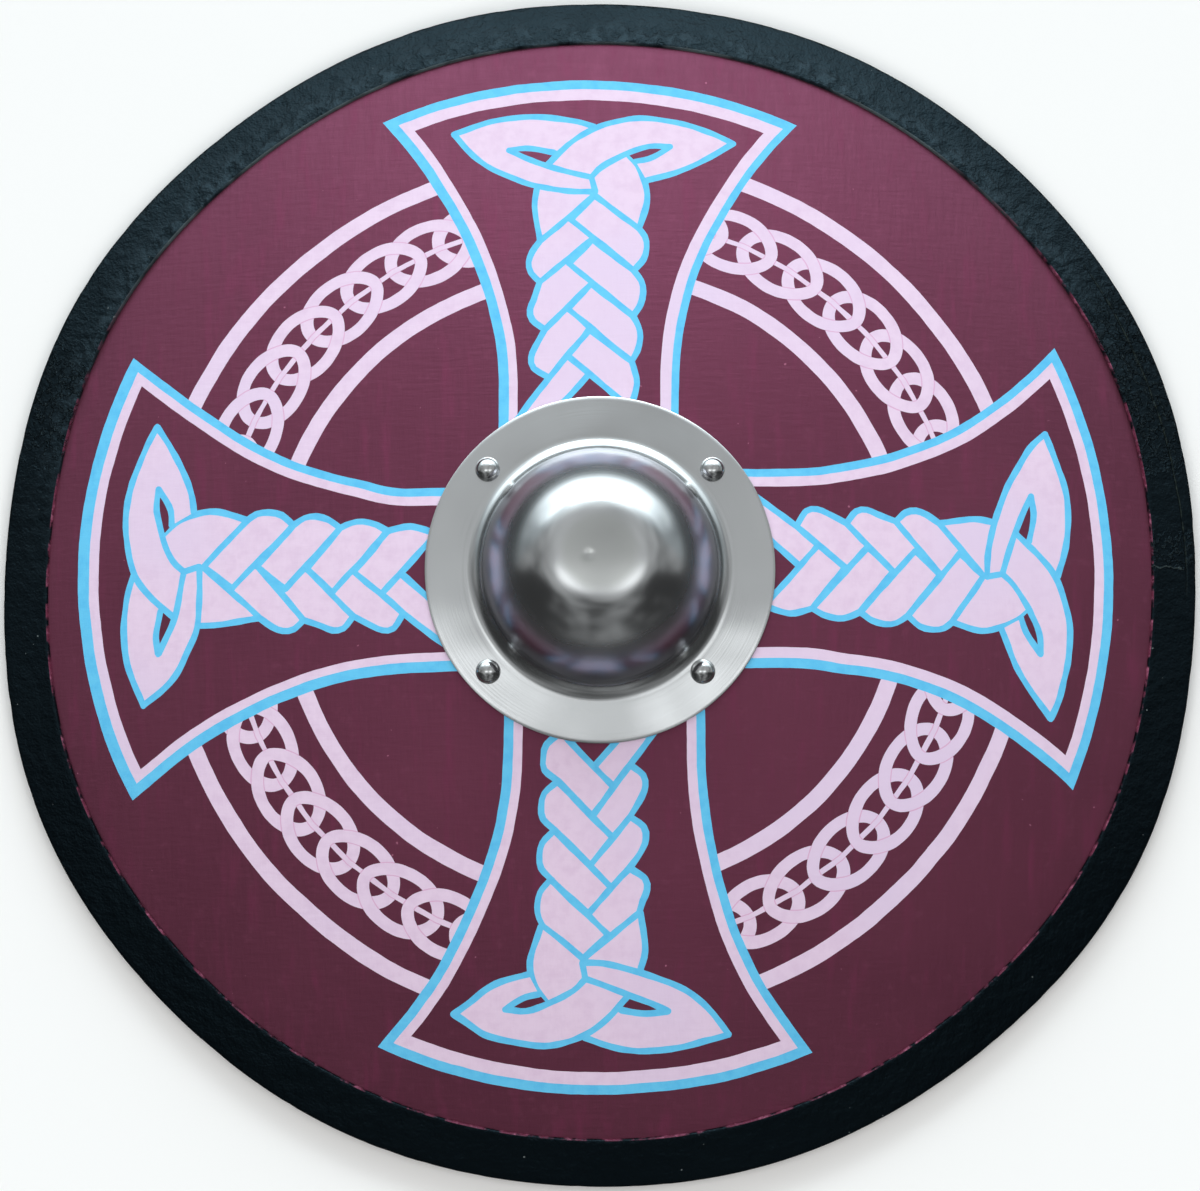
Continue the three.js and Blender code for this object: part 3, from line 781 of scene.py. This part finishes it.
inner_edge = leather.make("Attribute", {"attribute_name": "inner_edge"}, output="Fac")
# The face's claret paint that ran up the inner edge of the lower part, painted paler pink in places
# as a painted highlight where that edge catches the light.
paint_run_and_highlight = inner_edge.step(0.35, 0.6) * cloud(leather, 0.010, detail=5.0).step(0.44, 0.56) * (
    1.0 - around(0.7, 2.75, 0.25))
rolled = (1.0 - leather.math("ABSOLUTE", reach - 0.2988 + 0.002 * broad).step(0.0002, 0.0007)) * (
    around(0.05, 0.55, 0.1))
base = fleck.pick((0.0012, 0.0020, 0.0028, 1.0), (0.13, 0.15, 0.15, 1.0))
base = (rolled * cloud(leather, 0.004).step(0.35, 0.7)).pick(base, (0.026, 0.033, 0.026, 1.0))
# The wrinkled patches are painted a speckled blue-grey as painted highlights on the wrinkles; their
# bumps are real.
base = (wrinkles_and_sheen * cloud(leather, 0.0015).step(0.45, 0.7)).pick(base, (0.030, 0.042, 0.045, 1.0))
base = butt.step(0.3, 0.9).pick(base, (0.032, 0.042, 0.042, 1.0))
# Painted sheen: the inner part of the rim's upper half is painted a lighter blue-grey, where sheen
# from the sky falls.
painted_sheen_band = (1.0 - (reach + 0.006 * broad).step(0.287, 0.301)) * around(0.5, 2.9, 0.35) * (
    cloud(leather, 0.007, detail=5.0).step(0.34, 0.66))
base = painted_sheen_band.pick(base, (0.016, 0.025, 0.031, 1.0))
# Painted highlight: the inner edge along the upper part is painted pale grey in long streaks, where
# it catches the light.
painted_edge_highlight = inner_edge.step(0.3, 0.7) * around(0.75, 2.6, 0.2)
base = (painted_edge_highlight * broad.step(0.36, 0.62)).pick(base, (0.07, 0.09, 0.095, 1.0))
base = paint_run_and_highlight.pick(base, cloud(leather, 0.003).step(0.5, 0.7).pick(
    colour(104, 44, 64), colour(150, 84, 108)))
feed(shader, "Base Color", base)
puckers = cloud(leather, 0.011, stretched(leather, (1.0, 1.0, 0.4)), detail=4.0)
feed(shader, "Roughness", 0.24 + 0.24 * broad - 0.08 * wrinkles_and_sheen)
bumped(shader, 0.07 * pebble + 0.22 * creases + 0.5 * wrinkles_and_sheen + 0.4 * butt - 0.3 * rolled
       + 0.45 * puckers + 0.25 * painted_sheen_band, 0.0026)

bm = turned(profile, 900)
edge_row = bm.verts.layers.float.new("inner_edge")
for v in bm.verts:
    v[edge_row] = v.co.xy.length < LEATHER_TOP * math.sin(face_start + 0.0005 / LEATHER_TOP) and (
        v.co.z > DOME_CENTRE + LEATHER_TOP * math.cos(EDGE_ANGLE))
saw_edge(bm)
for v in bm.verts:
    lump = noise.fractal(v.co * 75.0, 0.9, 2.2, 3) * 0.00035
    if v.co.z > 0.004 and v.co.xy.length > 0.285:
        v.co -= v.co.normalized() * max(lump, 0.0)
piece("leather_edge", bm, hide, "rim_leather", "leather_rim")


# The boss: one disc of steel, spun up into a bowl with a flat flange. The flange is brushed on
# the lathe and the bowl polished, and the lathe's centre left a dimple near the top.
BOSS_RADIUS = 0.0873
BOSS_TOP = 0.70675
BOSS_THICKNESS = 0.002
BOWL_RADIUS = 0.0582
BOWL_RISE = 0.053
FOOT_FILLET = 0.0095
GROOVE = 0.0008
PAD_RADIUS = 0.0160                # the flatter top, and the width over which it blends away
PAD_BLEND = 0.018
PAD_FLATNESS = 0.34
DIMPLE = (-0.0055, -0.0015)
DIMPLE_RADIUS = 0.0022
DIMPLE_DEPTH = 0.00035

foot_centre = BOWL_RADIUS + FOOT_FILLET
flange_top = DOME_CENTRE + math.sqrt(BOSS_TOP ** 2 - foot_centre ** 2)
bowl_foot = flange_top + FOOT_FILLET
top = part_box("boss")[1].z


def bowl(shrink, steps):
    """The bowl's profile from its top to its foot, flatter on top where the lathe's pad held it."""
    points = [Vector((BOWL_RADIUS - shrink, 0.0, bowl_foot + GROOVE))]
    for i in range(steps - 1, -1, -1):
        turn = i / steps * math.pi / 2
        x = (BOWL_RADIUS - shrink) * math.sin(turn)
        rise = (BOWL_RISE - shrink) * (math.cos(turn) - math.cos(turn + math.pi / 2 / steps))
        share = min(max((x - PAD_RADIUS) / PAD_BLEND, 0.0), 1.0)
        keep = PAD_FLATNESS + (1.0 - PAD_FLATNESS) * share ** 2 * (3 - 2 * share)
        points.append(Vector((x, 0.0, points[-1].z + rise * keep)))
    foot = points[0].z
    reach = (top - shrink - foot) / (points[-1].z - foot)
    for point in points:
        point.z = foot + (point.z - foot) * reach
    return points[::-1]


def sweep(radius, steps):
    """The hollow sweep from the bowl's foot out on to the flange."""
    return [Vector((foot_centre - radius * math.cos(i / steps * math.pi / 2), 0.0,
                    bowl_foot - radius * math.sin(i / steps * math.pi / 2)))
            for i in range(steps + 1)]


edge_turn = math.asin(BOSS_RADIUS / BOSS_TOP)
outside = bowl(0.0, 90) + [Vector((BOWL_RADIUS - 0.0003, 0, bowl_foot + 0.0005)),
                           Vector((BOWL_RADIUS - GROOVE, 0, bowl_foot + 0.0002))]
outside += sweep(FOOT_FILLET, 14)
flange = layer_arc(BOSS_TOP, math.asin(foot_centre / BOSS_TOP), edge_turn - 0.0004 / BOSS_TOP, 12)
rounding = [on_layer(BOSS_TOP - 0.0001, edge_turn - 0.0001 / BOSS_TOP),
            on_layer(BOSS_TOP - 0.0004, edge_turn)]
under = layer_arc(BOSS_TOP - BOSS_THICKNESS, edge_turn, math.asin(foot_centre / BOSS_TOP), 12)
inside = bowl(BOSS_THICKNESS, 60) + sweep(FOOT_FILLET + BOSS_THICKNESS, 10)[:-1]
profile = outside + flange[1:] + rounding + under + inside[::-1]
profile[0].x = profile[-1].x = 0.0
bm = turned(profile, 192, ring=False)
for v in bm.verts:
    if v.co.z > top - 0.004:
        away = (v.co.xy - Vector(DIMPLE)).length / DIMPLE_RADIUS
        v.co.z -= DIMPLE_DEPTH * math.exp(-away ** 2)
steel, shader, metal = material("spun_steel", roughness=0.2, metallic=1.0)
place = metal.make("TexCoord", output="Object")
x = metal.make("SeparateXYZ", inputs={"Vector": place}, output="X")
y = metal.make("SeparateXYZ", inputs={"Vector": place}, output="Y")
radius = (x * x + y * y) ** 0.5
on_flange = radius.step(0.0572, 0.0612)
under_pad = 1.0 - radius.step(PAD_RADIUS - 0.001, PAD_RADIUS + 0.006)
ringed = metal.make("CombineXYZ", inputs={"X": radius * 1400.0, "Y": x * 6.0, "Z": y * 6.0})
lathe = metal.make("TexNoise", inputs={"Vector": ringed, "Scale": 1.0, "Detail": 2.0})
smudged = metal.make("TexNoise", inputs={"Vector": place, "Scale": 38.0, "Detail": 3.0})
# The flatter top under the pad is painted a darker grey, as painted shade in the reflection it
# shows.
steel_colour = under_pad.pick((0.78, 0.79, 0.79, 1.0), (0.70, 0.71, 0.69, 1.0))
# Painted reflection: a ring round the bowl's foot is painted dark purplish grey, standing for the
# claret and pink face it reflects.
steel_colour = (radius.step(0.046, 0.058) * (1.0 - on_flange)).pick(
    steel_colour, (0.29, 0.275, 0.31, 1.0))
feed(shader, "Base Color", steel_colour)
bowl_side = radius.step(0.036, 0.052) * (1.0 - on_flange)
feed(shader, "Roughness", 0.14 + 0.02 * on_flange + 0.05 * under_pad + 0.04 * lathe
     + 0.08 * smudged + 0.12 * bowl_side)
waves = cloud(metal, 0.045, detail=1.0)
bumped(shader, on_flange * waves + 0.02 * lathe * (0.3 + 0.7 * on_flange), 0.0012)
piece("steel_boss", bm, steel, "boss_steel", "boss")


# The rivets: four round-headed steel rivets through flange, canvas and board, each closed over
# a washer behind. Their heads are bright.
RIVET_PLACES = [(-0.056, 0.05), (0.056, 0.05), (-0.0555, -0.0515), (0.051, -0.0515)]
HEAD_RADIUS = 0.0062
HEAD_HEIGHT = 0.0046
SHANK_RADIUS = 0.0025
TAIL_RADIUS = 0.004
TAIL_SEAT = -0.01430              # the washer's outer face, below the head's seat
WASHER_RADIUS = 0.008
WASHER_THICKNESS = 0.0015


def square_to(radius, place, drop=0.0):
    """Moves a piece made about the origin on to a layer, above a plan position and square to it."""
    x, y = place
    out = Vector((x, y, math.sqrt(radius ** 2 - x * x - y * y))).normalized()
    turn = Vector((0, 0, 1)).rotation_difference(out).to_matrix().to_4x4()
    return Matrix.Translation(Vector((0, 0, DOME_CENTRE)) + out * (radius + drop)) @ turn


bright, shader, metal = material("bright_steel", roughness=0.12, metallic=1.0)
shader.inputs["Base Color"].default_value = (0.74, 0.75, 0.74, 1.0)
feed(shader, "Roughness", 0.08 + 0.14 * cloud(metal, 0.004))
zinc, shader, metal = material("zinc_plate", roughness=0.4, metallic=1.0)
feed(shader, "Base Color", cloud(metal, 0.003).pick(colour(176, 178, 180), colour(206, 208, 208)))
feed(shader, "Roughness", 0.3 + 0.25 * cloud(metal, 0.002))
for number, spot_place in enumerate(RIVET_PLACES, 1):
    tail = TAIL_SEAT - 0.0003
    profile = [Vector((0, 0, tail - 0.0018))]
    profile += [Vector((TAIL_RADIUS * math.sin(a), 0, tail - 0.0018 * math.cos(a)))
                for a in np.radians([20, 40, 60, 78, 90])]
    profile += [Vector((SHANK_RADIUS, 0, tail)), Vector((SHANK_RADIUS, 0, 0.0003)),
                Vector((HEAD_RADIUS - 0.0003, 0, 0.0003))]
    profile += [Vector((HEAD_RADIUS * math.cos(a), 0, 0.0003 + HEAD_HEIGHT * math.sin(a)))
                for a in np.radians(np.linspace(6, 90, 15))]
    profile[-1].x = 0.0
    bm = turned(profile, 48, ring=False)
    bmesh.ops.transform(bm, matrix=square_to(BOSS_TOP, spot_place), verts=bm.verts)
    piece(f"rivet_{number}", bm, bright, "rivet_steel", f"boss_rivet_{number}")
    bore = SHANK_RADIUS + 0.0003
    bm = turned([Vector((bore, 0, 0)), Vector((WASHER_RADIUS - 0.0003, 0, 0)),
                 Vector((WASHER_RADIUS, 0, 0.0003)), Vector((WASHER_RADIUS, 0, WASHER_THICKNESS)),
                 Vector((bore, 0, WASHER_THICKNESS))], 48)
    bmesh.ops.transform(bm, matrix=square_to(BOSS_TOP, spot_place, TAIL_SEAT), verts=bm.verts)
    piece(f"washer_{number}", bm, zinc, "fixing_steel", f"rivet_washer_{number}")


# The grip: an ash batten across the hand hole behind the boss, rounded for the hand, thinned
# to its ends and hollowed on its ends to fit the inside of the dome. Oiled.
GRIP_LENGTH = 0.24
GRIP_HAND_HALF = 0.04
GRIP_THIN_FROM = 0.085
GRIP_END = (0.018, 0.009)         # half width and thickness
GRIP_HAND = (0.015, 0.023)


def grip_ring(x, count):
    """One section of the batten, square to its length."""
    towards_end = min(max((abs(x) - GRIP_HAND_HALF) / (GRIP_THIN_FROM - GRIP_HAND_HALF), 0), 1)
    towards_end = towards_end ** 2 * (3 - 2 * towards_end)
    half = GRIP_HAND[0] + (GRIP_END[0] - GRIP_HAND[0]) * towards_end
    thick = GRIP_HAND[1] + (GRIP_END[1] - GRIP_HAND[1]) * towards_end
    square = 2 / 2.6 + (2 / 7 - 2 / 2.6) * towards_end
    under_board = max(abs(x), HAND_HOLE)
    top = DOME_CENTRE + math.sqrt(BOARD_BACK ** 2 - under_board ** 2 - GRIP_END[0] ** 2) - 0.0008
    points = []
    for i in range(count):
        turn = (i + 0.5) / count * 2 * math.pi
        c, s = math.cos(turn), math.sin(turn)
        points.append(Vector((x, math.copysign(abs(c) ** square, c) * half,
                              top + (math.copysign(abs(s) ** square, s) - 1) * thick / 2)))
    return points


bm = bmesh.new()
stations = [-GRIP_LENGTH / 2 + GRIP_LENGTH * i / 80 for i in range(81)]
ring = bmesh.ops.create_circle(bm, cap_ends=True, segments=40, radius=0.01)["verts"]
for v, point in zip(ring, grip_ring(stations[0], 40)):
    v.co = point
for x in stations[1:]:
    edges = [e for e in bm.edges if all(v in ring for v in e.verts)]
    made = bmesh.ops.extrude_edge_only(bm, edges=edges)["geom"]
    links = {e.other_vert(v): v for v in ring for e in v.link_edges if e.other_vert(v) in made}
    back = {old: new for new, old in links.items()}
    ring = [back[v] for v in ring]
    for v, point in zip(ring, grip_ring(x, 40)):
        v.co = point
bmesh.ops.contextual_create(bm, geom=[e for e in bm.edges if all(v in ring for v in e.verts)])
bmesh.ops.recalc_face_normals(bm, faces=bm.faces)
ash, shader, wood = material("oiled_ash", roughness=0.5)
grain = cloud(wood, 0.2, stretched(wood, (1.0, 24.0, 18.0)), detail=6.0)
pores = cloud(wood, 0.012, stretched(wood, (1.0, 16.0, 14.0)), detail=2.0)
base = grain.step(0.25, 0.75).pick(colour(150, 108, 66), colour(188, 148, 98))
base = pores.step(0.6, 0.75).pick(base, colour(112, 76, 44))
feed(shader, "Base Color", base)
feed(shader, "Roughness", 0.42 + 0.2 * pores)
bumped(shader, 0.5 * grain + 0.5 * pores, 0.0003)
piece("hand_grip_batten", bm, ash, "grip_wood", "hand_grip")


# The screws: four round-headed wood screws hold the grip's ends to the board from behind.
SCREW_PLACES = [(-0.104, 0.008), (-0.104, -0.008), (0.104, 0.008), (0.104, -0.008)]
SCREW_SEAT = -0.0096
for number, place in enumerate(SCREW_PLACES, 1):
    profile = [Vector((0.004 * math.sin(a), 0, -0.0024 * math.cos(a)))
               for a in np.radians([0, 15, 30, 45, 60, 75, 88])]
    profile += [Vector((0.004, 0, 0)), Vector((0.0018, 0, 0)), Vector((0.0018, 0, 0.012)),
                Vector((0, 0, 0.015))]
    profile[0].x = 0.0
    bm = turned(profile, 32, ring=False)
    bmesh.ops.transform(bm, matrix=square_to(BOARD_BACK, place, SCREW_SEAT), verts=bm.verts)
    piece(f"screw_{number}", bm, zinc, "fixing_steel", f"grip_screw_{number}")
